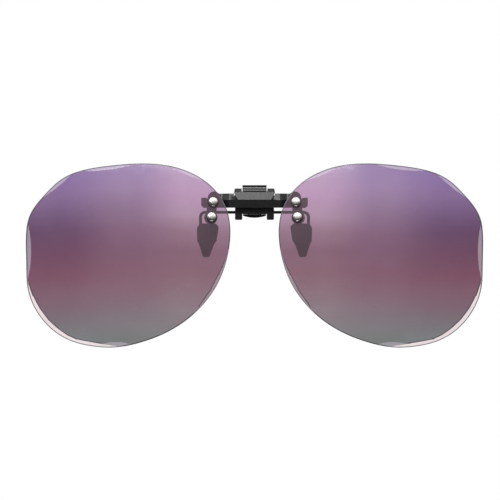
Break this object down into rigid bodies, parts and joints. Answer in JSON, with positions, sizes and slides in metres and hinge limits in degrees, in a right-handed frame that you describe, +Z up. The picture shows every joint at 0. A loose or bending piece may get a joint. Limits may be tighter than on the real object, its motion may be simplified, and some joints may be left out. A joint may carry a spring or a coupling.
{
  "type": "clip-on flip-up lens pair",
  "caption": "Pair of tinted lenses on a hinged carrier that flips up from a spring clamp, whose wire claws and soft pads grip a pair of spectacles.",
  "frame": {"origin": "clamping point of the clip: on the middle plane, between the front and rear pads, at the middle of the pads' height", "axes": "+X to the right seen from the front, along the pair of lenses; +Y towards the wearer; +Z up; the spectacles leave the clamp along -Z"},
  "size_m": [0.142, 0.0118, 0.057],
  "materials": {
    "lens": "gradient mirror coated, polished",
    "black_frame": "satin black coating",
    "bright_rivet": "polished",
    "spring_steel": "drawn wire",
    "black_nylon": "moulded",
    "pad_rubber": "soft moulded"
  },
  "bodies": {
    "clamp_body": {"clamp_housing": "black_frame", "stop_bar": "black_frame", "bar_rivets": "black_frame", "right_rubber_stop": "pad_rubber", "left_rubber_stop": "pad_rubber", "front_claw_wire": "black_frame", "right_front_pad": "pad_rubber", "left_front_pad": "pad_rubber", "torsion_spring": "spring_steel"},
    "lens_carrier": {"carrier_bar": "black_frame", "hinge_block": "black_frame", "detent_leaf": "spring_steel", "flip_pin": "spring_steel", "right_lens": "lens", "left_lens": "lens", "right_lens_rivets": "bright_rivet", "left_lens_rivets": "bright_rivet", "right_front_washers": "black_nylon", "left_front_washers": "black_nylon", "right_lens_bushes": "black_nylon", "left_lens_bushes": "black_nylon", "right_rear_washers": "spring_steel", "left_rear_washers": "spring_steel"},
    "rear_jaw": {"clamp_lever": "black_frame", "rear_claw_wire": "black_frame", "right_rear_pad": "pad_rubber", "left_rear_pad": "pad_rubber"}
  },
  "joints": [
    {"name": "lens_flip", "type": "hinge", "parent": "clamp_body", "child": "lens_carrier", "pos_m": [0, -0.0034, 0.0144], "axis": [-1, 0, 0], "range_deg": [0, 90]},
    {"name": "jaw_open", "type": "hinge", "parent": "clamp_body", "child": "rear_jaw", "pos_m": [0, -0.001, 0.00806], "axis": [1, 0, 0], "range_deg": [0, 20], "stiffness_Nm_per_rad": 0.03, "springref_deg": -20.05, "deforming": ["torsion_spring"]}
  ]
}
